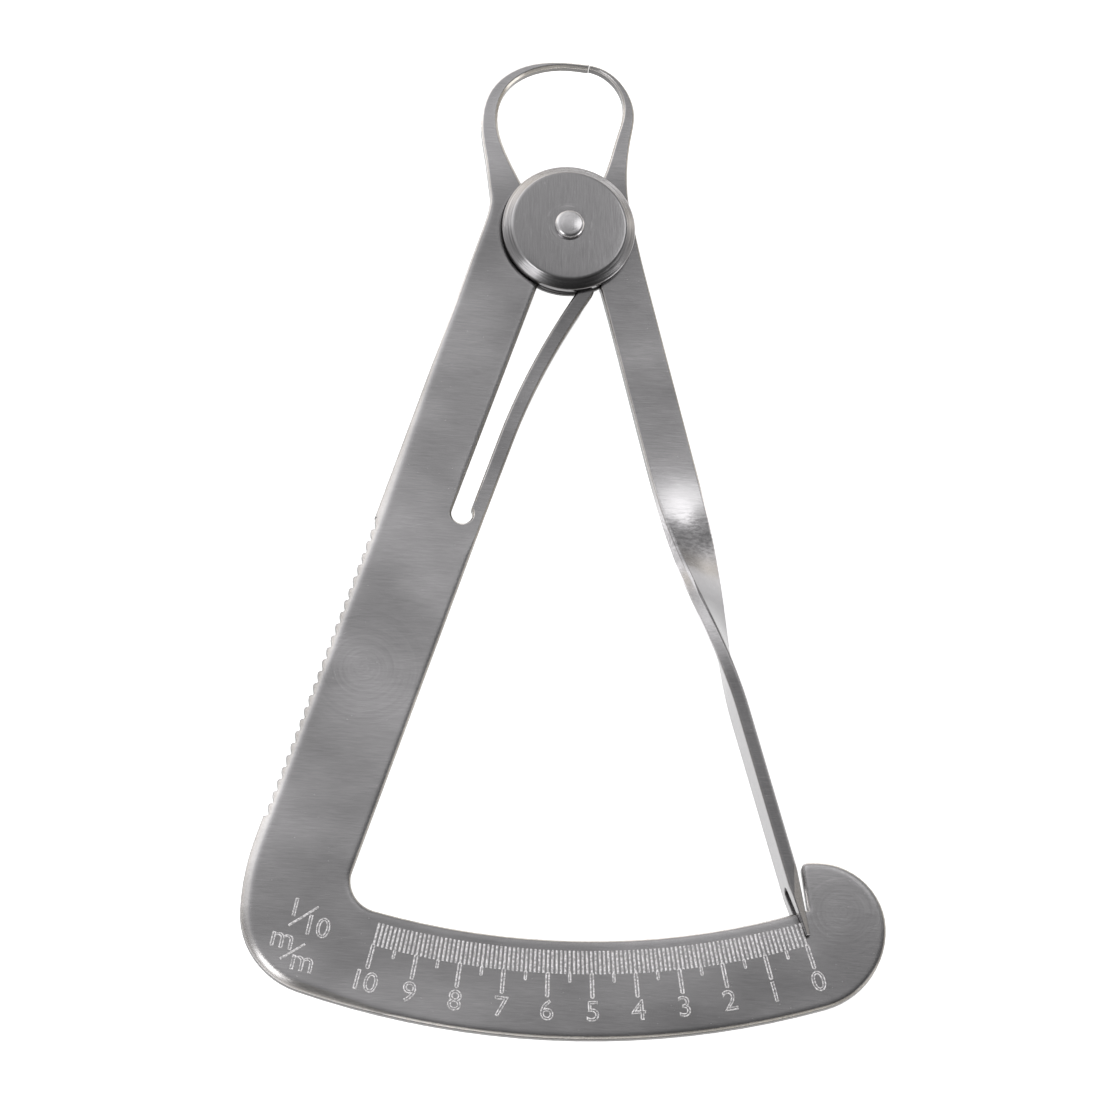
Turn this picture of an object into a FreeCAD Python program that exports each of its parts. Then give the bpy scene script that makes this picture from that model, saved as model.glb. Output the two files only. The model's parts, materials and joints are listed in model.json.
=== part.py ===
import FreeCAD, Part
import math
import os

# Spring-return decimal caliper gauge.
# Frame: origin on the pivot axis, at the back of the rear rivet head. +Z comes out of the
# engraved front, +Y points from the pivot to the jaws, and -Y passes through scale mark 5.
# Millimetres, jaws closed and pointer at 0.

# ---- sheet and pivot stack -------------------------------------------------------------
SHEET = 1.3                 # thickness of both legs
BACK = 0.4                  # back face of the sheet; the rear rivet head fills 0 to BACK
FRONT = BACK + SHEET
MIDDLE = BACK + SHEET / 2
LAP_GAP = 0.02              # half of the gap between the two lapped hub halves
REAR_HUB_RADIUS = 6.75      # hub disc of the scale plate, the back half of the sheet
REAR_HUB_POCKET = 6.9       # pocket in the pointer leg that clears it
FRONT_HUB_RADIUS = 6.6      # hub disc of the pointer leg, the front half of the sheet
FRONT_HUB_POCKET = 6.75     # pocket in the scale plate that clears it
SPRING_NOTCH = (-0.3, 4.6, -4.2) # left, right and top of the gap in that hub for the spring

RIVET_RADIUS = 1.25
BORE_CLEARANCE = 0.03       # running clearance of the pointer leg on the rivet
REAR_HEAD_RADIUS = 1.9
FRONT_HEAD_RADIUS = 1.55
FRONT_HEAD_HEIGHT = 0.62
FRONT_HEAD_FLAT = 0.95      # radius of the nearly flat crown

DISC_RADIUS = 6.8
DISC_TOP_RADIUS = 5.8
DISC_GAP = 0.05             # play between the moving leg and the cover disc
DISC_WALL = 0.55
DISC_HEIGHT = 1.25
DISC_CROWN = 0.06           # rise of the slightly domed top at its centre

# ---- scale arc -------------------------------------------------------------------------
ARC_INNER = 75.6
ARC_OUTER = 85.6
LEFT_CORNER_RADIUS = 8.3
LEFT_CORNER_X = -26.1       # centre of the lower left corner
LEFT_SWEEP_RADIUS = 26.0    # long curve between the straight edge and that corner
LOBE_LOW_RADIUS = 8.55
LOBE_LOW_X = 20.8           # centre of the lobe's lower curve
LOBE_TOP_RADIUS = 6.7
WINDOW_FILLET = 3.1

# ---- straight leg ----------------------------------------------------------------------
LEG_TILT = 20.3             # outer edge, degrees from -Y
LEG_OUTER_X = -8.8          # where the outer edge crosses the pivot's level
INNER_TILT = 20.96          # window edge and slot edge
WINDOW_EDGE = (-8.46, -29.7)
SLOT_TOP = (-3.55, -6.7)
SLOT_LOW = (-12.6, -30.45)

# ---- serrated grip ---------------------------------------------------------------------
TEETH = 25
TOOTH_FIRST_Y = -31.3
TOOTH_PITCH_Y = 1.255
TOOTH_ROUND = 0.28
TOOTH_LEAN = 0.14           # how far each tooth undercuts towards its root

# ---- leaf spring -----------------------------------------------------------------------
SPRING_WIDTH = 1.52
SPRING_ROOT = (-10.74, -30.6)
SPRING_HINGE_Y = -29.9      # level at which the flexing length starts
SPRING_HINGE_GAP = 0.12
SPRING_BEND_Y = -22.8       # the strip is straight below this level and curved above it
SPRING_BEND_RADIUS = 66.0
SPRING_TIP_Y = -6.75
SPRING_LAP_Y = -8.3         # above this level the strip is the front half of the sheet
NOSE_CENTRE = (3.78, -6.1)   # heel of the pointer leg that the spring presses
NOSE_RADIUS = 0.7

# ---- pointer leg -----------------------------------------------------------------------
POINTER_TOP = (6.29, -9.6)
POINTER_TILT = 12.0        # flat part, degrees from -Y
TWIST_START_Y = -24.6
TWIST_START_WIDTH = 4.8
BLADE_TILT = 13.68          # edgewise part
BLADE_DEPTH = 4.7
TIP = (21.45, -75.2)
TWIST_END_Y = -52.0
TWIST_SECTIONS = 11
FORK_HALF_GAP = 0.85
FORK_DEPTH = 4.7            # from the tip to the closed end of the fork

# ---- edge finishing --------------------------------------------------------------------
EDGE_ROUND = 0.18
GRIP_BEVEL = (0.75, 0.42)   # width and depth of the bevel on the front of the gripping edge
GRIP_START_Y = -30.4        # the bevel is full above the first tooth
GRIP_FADE_Y = -3.0          # and fades out towards the pivot
GRIP_RUN_OUT = 14.0         # length of the bevel past the lower left corner
JAW_BEVEL = 0.28
RIGHT_JAW_BEVEL = 0.22
CUTTER_REACH = 2.0          # how far a cutting solid reaches past the sheet


def at(point, z=0.0):
    return FreeCAD.Vector(point[0], point[1], z)


def heading(degrees):
    """Unit vector that points down the instrument, turned to +X from -Y."""
    angle = math.radians(degrees)
    return (math.sin(angle), -math.cos(angle))


def right_of(degrees):
    """Unit vector to the +X side of a heading."""
    angle = math.radians(degrees)
    return (math.cos(angle), math.sin(angle))


def moved(point, direction, distance):
    return (point[0] + direction[0] * distance, point[1] + direction[1] * distance)


def line(start, end):
    return Part.LineSegment(at(start), at(end)).toShape()


def arc(start, middle, end):
    return Part.Arc(at(start), at(middle), at(end)).toShape()


def arc_about(centre, radius, start, end):
    """Shorter arc about a centre between two points on it."""
    half = (start[0] + end[0] - 2 * centre[0], start[1] + end[1] - 2 * centre[1])
    size = math.hypot(*half)
    middle = moved(centre, (half[0] / size, half[1] / size), radius)
    return arc(start, middle, end)


def curve(points, start_heading=None, end_heading=None):
    spline = Part.BSplineCurve()
    if start_heading is None:
        spline.interpolate([at(p) for p in points])
    else:
        spline.interpolate(
            [at(p) for p in points],
            InitialTangent=at(start_heading),
            FinalTangent=at(end_heading),
        )
    return spline.toShape()


def blend(before, end, end_heading):
    """Curve that leaves an edge smoothly and arrives at a point on a given heading."""
    start = before.valueAt(before.LastParameter)
    leave = before.tangentAt(before.LastParameter)
    arrive = at(end_heading).normalize()
    reach = start.distanceToPoint(at(end)) / 3
    bezier = Part.BezierCurve()
    bezier.setPoles([start, start + leave * reach, at(end) - arrive * reach, at(end)])
    return bezier.toShape()


def slab(edges, low, high):
    face = Part.Face(Part.Wire(edges))
    solid = face.extrude(FreeCAD.Vector(0, 0, high - low))
    solid.translate(FreeCAD.Vector(0, 0, low))
    return solid


def disc(radius, low, high):
    return Part.makeCylinder(radius, high - low, FreeCAD.Vector(0, 0, low))


def block(low, high):
    """Box between two opposite corners."""
    size = FreeCAD.Vector(*high) - FreeCAD.Vector(*low)
    return Part.makeBox(size.x, size.y, size.z, FreeCAD.Vector(*low))


def cross_line_circle(point, direction, radius):
    """Far crossing of a line with a circle about the pivot."""
    along = point[0] * direction[0] + point[1] * direction[1]
    spare = point[0] ** 2 + point[1] ** 2 - radius ** 2
    return moved(point, direction, -along + math.sqrt(along ** 2 - spare))


def edges_on(solid, height, keep):
    """Edges that lie at one height and whose middle point passes a test."""
    found = []
    for edge in solid.Edges:
        box = edge.BoundBox
        flat = box.ZLength < 1e-6 and abs(box.ZMin - height) < 1e-6
        if flat and keep(edge.valueAt((edge.FirstParameter + edge.LastParameter) / 2)):
            found.append(edge)
    return found


def radius_of(point):
    return math.hypot(point.x, point.y)


# ---- scale plate -----------------------------------------------------------------------
def left_jaw_outer():
    points = [(2.72, 18.55), (0.0, 18.8), (-4.4, 18.15), (-7.6, 15.5), (-8.6, 11.9)]
    points += [(-8.25, 8.0), (-7.95, 4.8), (LEG_OUTER_X, 0.0)]
    return curve(points, (-1.0, 0.1), heading(-LEG_TILT))


def left_jaw_inner():
    points = [(-3.4, 2.6), (-5.75, 7.65), (-6.9, 12.1), (-5.85, 15.6), (-2.1, 17.95)]
    points += [(0.4, 18.2), (2.62, 17.95)]
    return curve(points, (-0.45, 0.89), (1.0, -0.14))


def grip_side():
    """Corners and centres of the gripping edge: straight run, long sweep, lower left corner."""
    down = heading(-LEG_TILT)
    corner = (LEFT_CORNER_X, -math.sqrt((ARC_OUTER - LEFT_CORNER_RADIUS) ** 2 - LEFT_CORNER_X ** 2))
    reach = LEFT_SWEEP_RADIUS - LEFT_CORNER_RADIUS
    offset = moved((LEG_OUTER_X, 0.0), right_of(-LEG_TILT), LEFT_SWEEP_RADIUS)
    gap = (offset[0] - corner[0], offset[1] - corner[1])
    along = gap[0] * down[0] + gap[1] * down[1]
    run = -along - math.sqrt(along ** 2 - gap[0] ** 2 - gap[1] ** 2 + reach ** 2)
    sweep = moved(offset, down, run)
    edge_end = moved((LEG_OUTER_X, 0.0), down, run)
    outward = ((corner[0] - sweep[0]) / reach, (corner[1] - sweep[1]) / reach)
    sweep_end = moved(corner, outward, LEFT_CORNER_RADIUS)
    corner_size = math.hypot(*corner)
    corner_end = (corner[0] * ARC_OUTER / corner_size, corner[1] * ARC_OUTER / corner_size)
    return edge_end, sweep, sweep_end, corner, corner_end


def plate_outline():
    edge_end, sweep, sweep_end, corner, corner_end = grip_side()
    low = (LOBE_LOW_X, -math.sqrt((ARC_OUTER - LOBE_LOW_RADIUS) ** 2 - LOBE_LOW_X ** 2))
    low_size = math.hypot(*low)
    lobe_start = (low[0] * ARC_OUTER / low_size, low[1] * ARC_OUTER / low_size)
    lobe_side = (low[0] + LOBE_LOW_RADIUS, low[1])
    top = (lobe_side[0] - LOBE_TOP_RADIUS, low[1])
    lobe_top = (top[0], top[1] + LOBE_TOP_RADIUS)
    notch_top = (21.9, lobe_top[1])
    notch_round = (21.42, lobe_top[1] - 0.19)
    notch_side = (21.22, lobe_top[1] - 0.68)
    notch_low = cross_line_circle(notch_side, heading(6.3), ARC_INNER)

    window_down = heading(-INNER_TILT)
    fillet_line = moved(WINDOW_EDGE, right_of(-INNER_TILT), WINDOW_FILLET)
    fillet = cross_line_circle(fillet_line, window_down, ARC_INNER - WINDOW_FILLET)
    fillet_up = moved(fillet, right_of(-INNER_TILT), -WINDOW_FILLET)
    fillet_size = math.hypot(*fillet)
    fillet_arc = (fillet[0] * ARC_INNER / fillet_size, fillet[1] * ARC_INNER / fillet_size)

    root_left, root_right = spring_sides(SPRING_ROOT[1])
    stub_left, stub_right = spring_sides(SPRING_HINGE_Y)
    jaw_foot = left_jaw_inner().valueAt(0)
    return [
        left_jaw_outer(),
        line((LEG_OUTER_X, 0.0), edge_end),
        arc_about(sweep, LEFT_SWEEP_RADIUS, edge_end, sweep_end),
        arc_about(corner, LEFT_CORNER_RADIUS, sweep_end, corner_end),
        arc_about((0, 0), ARC_OUTER, corner_end, lobe_start),
        arc_about(low, LOBE_LOW_RADIUS, lobe_start, lobe_side),
        arc_about(top, LOBE_TOP_RADIUS, lobe_side, lobe_top),
        line(lobe_top, notch_top),
        arc(notch_top, notch_round, notch_side),
        line(notch_side, notch_low),
        arc_about((0, 0), ARC_INNER, notch_low, fillet_arc),
        arc_about(fillet, WINDOW_FILLET, fillet_arc, fillet_up),
        line(fillet_up, root_right),
        line(root_right, stub_right),
        line(stub_right, stub_left),
        line(stub_left, root_left),
        arc(root_left, (-11.8, -31.9), SLOT_LOW),
        line(SLOT_LOW, SLOT_TOP),
        line(SLOT_TOP, (-2.2, -3.1)),
        line((-2.2, -3.1), (jaw_foot.x, jaw_foot.y)),
        left_jaw_inner(),
        line((2.62, 17.95), (2.72, 18.55)),
    ]


def bevel_section(edge_point, outward):
    """Section of the cutter that bevels the front of the gripping edge."""
    width, depth = GRIP_BEVEL
    spare = 0.3
    low = FRONT - depth * (1 + spare / width)
    inner = moved(edge_point, outward, -width)
    outer = moved(edge_point, outward, spare)
    points = [at(inner, FRONT), at(outer, low), at(outer, FRONT + 1), at(inner, FRONT + 1)]
    return Part.Face(Part.makePolygon(points + points[:1]))


def bevel_round(centre, start, end):
    """Bevel cutter along an arc of the gripping edge."""
    radius = math.hypot(start[0] - centre[0], start[1] - centre[1])
    outward = ((start[0] - centre[0]) / radius, (start[1] - centre[1]) / radius)
    first = math.atan2(start[1] - centre[1], start[0] - centre[0])
    last = math.atan2(end[1] - centre[1], end[0] - centre[0])
    turn = math.degrees(last - first) % 360
    section = bevel_section(start, outward)
    return section.revolve(at(centre), FreeCAD.Vector(0, 0, 1), turn)


def bevel_fade(start, fade, outward):
    """Flat cutter that narrows the bevel from its full width to nothing."""
    width, depth = GRIP_BEVEL
    inner = at(moved(start, outward, -width), FRONT)
    edge = at(start, FRONT - depth)
    vanish = at(fade, FRONT)
    normal = (edge - inner).cross(vanish - inner).normalize()
    if normal.z < 0:
        normal = normal * -1
    along = (vanish - edge).normalize()
    side = normal.cross(along) * CUTTER_REACH
    far = edge + along * ((vanish - edge).Length + CUTTER_REACH)
    return prism([edge - side, edge + side, far + side, far - side], normal, CUTTER_REACH)


def grip_bevel():
    """Cutters for the straight edge, both curves and the run-out along the scale arc."""
    edge_end, sweep, sweep_end, corner, corner_end = grip_side()
    slope = math.tan(math.radians(LEG_TILT))
    start = (LEG_OUTER_X + slope * GRIP_START_Y, GRIP_START_Y)
    fade = (LEG_OUTER_X + slope * GRIP_FADE_Y, GRIP_FADE_Y)
    outward = (-right_of(-LEG_TILT)[0], -right_of(-LEG_TILT)[1])
    straight = bevel_section(start, outward).extrude(at(edge_end) - at(start))
    size = math.hypot(*corner_end)
    radial = (corner_end[0] / size, corner_end[1] / size)
    run_out = at((-radial[1], radial[0])) * GRIP_RUN_OUT
    return [
        bevel_fade(start, fade, outward),
        straight,
        bevel_round(sweep, edge_end, sweep_end),
        bevel_round(corner, sweep_end, corner_end),
        bevel_section(corner_end, radial).extrude(run_out),
    ]


def tooth_cutter(step):
    """One step of the serration, with a rounded crest, a leaning flank and a rounded root."""
    slope = math.tan(math.radians(LEG_TILT))
    y = TOOTH_FIRST_Y - step * TOOTH_PITCH_Y
    next_y = y - TOOTH_PITCH_Y
    x = LEG_OUTER_X + slope * y
    next_x = LEG_OUTER_X + slope * next_y
    root_x = x + TOOTH_LEAN
    lean = TOOTH_LEAN * TOOTH_ROUND / TOOTH_PITCH_Y
    crest_start = (x + TOOTH_ROUND, y)
    crest_end = (x + lean, y - TOOTH_ROUND)
    root_start = (root_x - lean, next_y + TOOTH_ROUND)
    root_end = (root_x - TOOTH_ROUND, next_y)
    inside = TOOTH_ROUND * (1 - math.sqrt(0.5))
    outside = 1.5
    spare = 0.05
    return slab(
        [
            arc(crest_start, (x + inside + lean / 3, y - inside), crest_end),
            line(crest_end, root_start),
            arc(root_start, (root_x - inside - lean / 3, next_y + inside), root_end),
            line(root_end, (next_x, next_y)),
            line((next_x, next_y), (next_x - outside, next_y)),
            line((next_x - outside, next_y), (x - outside, y + spare)),
            line((x - outside, y + spare), (crest_start[0], y + spare)),
            line((crest_start[0], y + spare), crest_start),
        ],
        BACK - 1,
        FRONT + 1,
    )


def soften(solid, size, height, keep):
    """Chamfer on the chosen edges of the front face or of the back face."""
    return solid.makeChamfer(size, edges_on(solid, height, keep))


def scale_plate():
    plate = slab(plate_outline(), BACK, FRONT)

    def outside(p):
        leg = p.x < LEG_OUTER_X + 0.33 * p.y
        jaw = p.y > 5 and p.x < 2.6 and math.hypot(p.x, p.y - 11.5) > 7.1
        return jaw or p.y < -1 and (leg or radius_of(p) > 78 or p.x > 21)

    def inside_jaw(p):
        return p.y > 5 and p.x < 2.6 and math.hypot(p.x, p.y - 11.5) < 7.1

    def window_or_slot(p):
        window = 69 < radius_of(p) < 76 and p.x < 20 or p.x > -17 and p.y < -49
        slot = -32 < p.y < -15 and not abs(p.y - SPRING_HINGE_Y) < 1.5
        return (window or slot) and not outside(p)

    for height in (BACK, FRONT):
        plate = soften(plate, EDGE_ROUND, height, outside)
        plate = soften(plate, JAW_BEVEL, height, inside_jaw)
        plate = soften(plate, EDGE_ROUND, height, window_or_slot)
    plate = plate.cut(grip_bevel())
    plate = plate.cut([tooth_cutter(step) for step in range(TEETH)])
    plate = plate.cut(disc(FRONT_HUB_POCKET, MIDDLE - LAP_GAP, FRONT + 1))
    plate = plate.fuse(disc(REAR_HUB_RADIUS, BACK, MIDDLE - LAP_GAP))
    plate = plate.cut(disc(RIVET_RADIUS, BACK - 1, FRONT + 1))
    return plate.removeSplitter()


# ---- leaf spring -----------------------------------------------------------------------
def spring_centre(y):
    """Centre of the strip at one level: straight low down, then an arc towards the pivot."""
    slope = math.tan(math.radians(INNER_TILT))
    root_x = SPRING_ROOT[0] + SPRING_WIDTH / 2 / math.cos(math.radians(INNER_TILT))
    straight_x = root_x + slope * (y - SPRING_ROOT[1])
    rise = max(0.0, y - SPRING_BEND_Y)
    return straight_x + rise ** 2 / (2 * SPRING_BEND_RADIUS * math.cos(math.radians(INNER_TILT)) ** 3)


def spring_sides(y):
    """Left and right points of the strip, square to its centre line."""
    step = 0.01
    run = spring_centre(y + step) - spring_centre(y - step)
    size = math.hypot(run, 2 * step)
    left = (-2 * step / size, run / size)
    middle = (spring_centre(y), y)
    return moved(middle, left, SPRING_WIDTH / 2), moved(middle, left, -SPRING_WIDTH / 2)


def leaf_spring():
    levels = [SPRING_BEND_Y + (SPRING_TIP_Y - SPRING_BEND_Y) * part / 4 for part in range(5)]
    sides = [spring_sides(y) for y in levels]
    foot_left, foot_right = spring_sides(SPRING_HINGE_Y + SPRING_HINGE_GAP)
    tip_left, tip_right = sides[-1]
    tip_run = (tip_right[1] - tip_left[1], tip_left[0] - tip_right[0])
    tip_end = moved(
        ((tip_left[0] + tip_right[0]) / 2, (tip_left[1] + tip_right[1]) / 2),
        (-tip_run[0] / SPRING_WIDTH, -tip_run[1] / SPRING_WIDTH),
        SPRING_WIDTH / 2,
    )
    strip = slab(
        [
            line(foot_left, sides[0][0]),
            curve([pair[0] for pair in sides]),
            arc(tip_left, tip_end, tip_right),
            curve([pair[1] for pair in reversed(sides)]),
            line(sides[0][1], foot_right),
            line(foot_right, foot_left),
        ],
        BACK,
        FRONT,
    )
    for height in (BACK, FRONT):
        strip = soften(strip, EDGE_ROUND, height, lambda p: p.y > SPRING_HINGE_Y + 0.5)
    hub = FRONT_HUB_RADIUS
    return strip.cut(block((-hub, SPRING_LAP_Y, BACK - 1), (hub, 0, MIDDLE + LAP_GAP)))


# ---- pointer leg -----------------------------------------------------------------------
def pointer_outline(end_left, end_right):
    leg_left = (3.88, -9.6)
    leg_right = (7.75, -4.8)
    run = (end_right[0] - leg_right[0], end_right[1] - leg_right[1])
    nose = NOSE_CENTRE
    nose_low = moved(nose, (-0.85, -0.527), NOSE_RADIUS)
    nose_side = moved(nose, (-0.97, 0.243), NOSE_RADIUS)
    nose_high = moved(nose, (-0.35, 0.937), NOSE_RADIUS)
    inner = [(2.9, 4.0), (4.35, 7.4), (5.3, 10.5), (6.05, 13.2), (5.95, 14.9), (4.95, 16.75)]
    inner += [(2.7, 18.05)]
    outer = [(2.78, 18.5), (5.0, 17.5), (6.75, 15.1), (7.2, 12.9), (6.75, 10.2)]
    outer += [(6.25, 6.4), (6.4, 2.6)]
    jaw_back = curve(outer)
    return [
        line(end_left, leg_left),
        line(leg_left, nose_low),
        arc(nose_low, nose_side, nose_high),
        line(nose_high, (1.8, -3.4)),
        line((1.8, -3.4), inner[0]),
        curve(inner),
        line(inner[-1], outer[0]),
        jaw_back,
        blend(jaw_back, leg_right, run),
        line(leg_right, end_right),
        line(end_right, end_left),
    ]


def strip_section(centre, tilt, width, turn):
    """Bevel-edged cross-section of the strip, turned about its own run by an angle."""
    side = right_of(tilt)
    side = FreeCAD.Vector(side[0], side[1], 0)
    up = FreeCAD.Vector(0, 0, 1)
    across = side * math.cos(turn) - up * math.sin(turn)
    thick = up * math.cos(turn) + side * math.sin(turn)
    half = width / 2
    high = SHEET / 2
    cut = EDGE_ROUND
    corners = [(half - cut, high), (half, high - cut), (half, cut - high), (half - cut, -high)]
    corners += [(-u, -v) for u, v in corners]
    centre = at(centre, MIDDLE)
    points = [centre + across * u + thick * v for u, v in corners]
    return Part.makePolygon(points + points[:1])


def centre_line(share):
    """Bent centre line of the twist: start, crossing of both runs, end."""
    start = moved(POINTER_TOP, heading(POINTER_TILT), (POINTER_TOP[1] - TWIST_START_Y)
                  / math.cos(math.radians(POINTER_TILT)))
    end = moved(TIP, heading(BLADE_TILT), (TIP[1] - TWIST_END_Y)
                / math.cos(math.radians(BLADE_TILT)))
    bend_y = (start[1] + end[1]) / 2
    bend_x = (start[0] + math.tan(math.radians(POINTER_TILT)) * (start[1] - bend_y)
              + end[0] - math.tan(math.radians(BLADE_TILT)) * (bend_y - end[1])) / 2
    near, far = (1 - share) ** 2, share ** 2
    between = 2 * share * (1 - share)
    return (near * start[0] + between * bend_x + far * end[0],
            near * start[1] + between * bend_y + far * end[1])


def twist():
    sections = []
    for number in range(TWIST_SECTIONS):
        share = number / (TWIST_SECTIONS - 1)
        eased = share * share * (3 - 2 * share)
        tilt = POINTER_TILT + (BLADE_TILT - POINTER_TILT) * share
        width = TWIST_START_WIDTH + (BLADE_DEPTH - TWIST_START_WIDTH) * share
        sections.append(strip_section(centre_line(share), tilt, width, eased * math.pi / 2))
    return Part.makeLoft(sections, True, False)


def blade_point(along, across, height):
    """Point of the blade: distance before the tip, to its right, above the sheet's middle."""
    place = moved(TIP, heading(BLADE_TILT), -along)
    place = moved(place, right_of(BLADE_TILT), across)
    return at(place, MIDDLE + height)


def prism(points, direction, depth):
    face = Part.Face(Part.makePolygon(points + points[:1]))
    return face.extrude(direction * depth)


def blade():
    end = centre_line(1.0)
    length = math.hypot(TIP[0] - end[0], TIP[1] - end[1])
    section = strip_section(end, BLADE_TILT, BLADE_DEPTH, math.pi / 2)
    bar = Part.Face(section).extrude(at(heading(BLADE_TILT)) * length)
    half = SHEET / 2
    deep = BLADE_DEPTH / 2
    across = at(right_of(BLADE_TILT))

    # fork that straddles the scale arc
    slot_points = [(-1, -FORK_HALF_GAP), (FORK_DEPTH, -FORK_HALF_GAP)]
    slot_points += [(FORK_DEPTH, FORK_HALF_GAP), (-1, FORK_HALF_GAP)]
    slot = prism([blade_point(a, -2, h) for a, h in slot_points], across, 4)
    slot_end = Part.makeCylinder(FORK_HALF_GAP, 4, blade_point(FORK_DEPTH, -2, 0), across)

    # facet that slopes to the reading edge, from the right side across to the left
    near_right = blade_point(7.9, half, deep)
    near_left = blade_point(3.2, -half, deep)
    low_tip = blade_point(0.0, 0.1, 1.15)
    normal = (near_left - near_right).cross(low_tip - near_right).normalize()
    if normal.z < 0:
        normal = normal * -1
    along = (low_tip - (near_left + near_right) * 0.5).normalize()
    side = normal.cross(along)
    centre = low_tip - along * 3
    corners = [(-9, -5), (6, -5), (6, 5), (-9, 5)]
    facet = prism([centre + along * a + side * b for a, b in corners], normal, 6)

    # the prongs narrow to the reading edge from both sides
    left = prism(
        [blade_point(5.0, -half, -4), blade_point(-1, -half, -4), blade_point(-1, -0.02, -4)],
        FreeCAD.Vector(0, 0, 1),
        8,
    )
    right = prism(
        [blade_point(6.5, half, -4), blade_point(-1, half, -4), blade_point(-1, 0.22, -4)],
        FreeCAD.Vector(0, 0, 1),
        8,
    )
    rear = prism(
        [blade_point(2.6, -2, -deep - 0.1), blade_point(-1, -2, -deep - 0.1),
         blade_point(-1, -2, -1.05), blade_point(0.6, -2, -1.05)],
        across,
        4,
    )
    return bar.cut([slot, slot_end, facet, left, right, rear])


def front_hub():
    """Half-thick hub disc with the gap that the end of the leaf spring sits in."""
    left, right, top = SPRING_NOTCH
    hub = disc(FRONT_HUB_RADIUS, MIDDLE + LAP_GAP, FRONT)
    return hub.cut(block((left, -FRONT_HUB_RADIUS, BACK), (right, top, FRONT + 1)))


def pointer_leg():
    start = centre_line(0.0)
    side = right_of(POINTER_TILT)
    end_left = moved(start, side, -TWIST_START_WIDTH / 2)
    end_right = moved(start, side, TWIST_START_WIDTH / 2)
    leg = slab(pointer_outline(end_left, end_right), BACK, FRONT)

    def inside_jaw(p):
        return p.y > 3.5 and 2.88 < p.x < 6.1 and math.hypot(p.x - 1.5, p.y - 12.5) < 5.8

    def plain(p):
        low = p.y < TWIST_START_Y + 1.5 and start[0] - 2 < p.x < start[0] + 2
        jaw_end = p.y > 17.9 and p.x < 2.88
        return not (radius_of(p) < 6.5 or low or jaw_end or inside_jaw(p))

    for height in (BACK, FRONT):
        leg = soften(leg, RIGHT_JAW_BEVEL, height, inside_jaw)
        leg = soften(leg, EDGE_ROUND, height, plain)
    leg = leg.fuse([twist(), blade()])
    leg = leg.cut(disc(REAR_HUB_POCKET, BACK - 1, MIDDLE + LAP_GAP))
    leg = leg.fuse(front_hub())
    leg = leg.cut(disc(RIVET_RADIUS + BORE_CLEARANCE, BACK - 1, FRONT + 1))
    return leg.removeSplitter()


# ---- pivot -----------------------------------------------------------------------------
def turned(points, arcs):
    """Solid of revolution about the pivot axis; arcs gives a middle point for some edges."""
    places = [FreeCAD.Vector(r, 0, z) for r, z in points]
    edges = []
    for number, start in enumerate(places):
        end = places[(number + 1) % len(places)]
        if number in arcs:
            middle = FreeCAD.Vector(arcs[number][0], 0, arcs[number][1])
            edges.append(Part.Arc(start, middle, end).toShape())
        else:
            edges.append(Part.LineSegment(start, end).toShape())
    face = Part.Face(Part.Wire(edges))
    return face.revolve(FreeCAD.Vector(0, 0, 0), FreeCAD.Vector(0, 0, 1), 360)


def cover_disc():
    low = FRONT + DISC_GAP
    top = low + DISC_HEIGHT
    points = [(RIVET_RADIUS, low), (DISC_RADIUS - 0.1, low), (DISC_RADIUS, low + 0.1)]
    points += [(DISC_RADIUS, low + DISC_WALL), (DISC_TOP_RADIUS, top)]
    points += [(RIVET_RADIUS, top + DISC_CROWN)]
    crown = ((DISC_TOP_RADIUS + RIVET_RADIUS) / 2, top + DISC_CROWN * 0.75)
    return turned(points, {4: crown})


def pivot_rivet():
    seat = FRONT + DISC_GAP + DISC_HEIGHT + DISC_CROWN
    top = seat + FRONT_HEAD_HEIGHT
    points = [(0, 0), (REAR_HEAD_RADIUS - 0.12, 0), (REAR_HEAD_RADIUS, 0.12)]
    points += [(REAR_HEAD_RADIUS, BACK), (RIVET_RADIUS, BACK), (RIVET_RADIUS, seat)]
    points += [(FRONT_HEAD_RADIUS, seat), (FRONT_HEAD_RADIUS, seat + 0.12)]
    points += [(FRONT_HEAD_FLAT, top), (0, top + 0.04)]
    shoulder = (FRONT_HEAD_RADIUS * 0.92, seat + FRONT_HEAD_HEIGHT * 0.72)
    return turned(points, {7: shoulder})


def main():
    os.makedirs("parts", exist_ok=True)
    nodes = {
        "scale_plate": scale_plate(),
        "leaf_spring": leaf_spring(),
        "pointer_leg": pointer_leg(),
        "cover_disc": cover_disc(),
        "pivot_rivet": pivot_rivet(),
    }
    for name, shape in nodes.items():
        shape.exportStep("parts/" + name + ".step")
        print(name, shape.isValid(), len(shape.Solids), round(shape.Volume, 2), shape.BoundBox)


main()
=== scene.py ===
import json
import math

import bmesh
import bpy
from mathutils import Matrix, Vector


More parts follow.
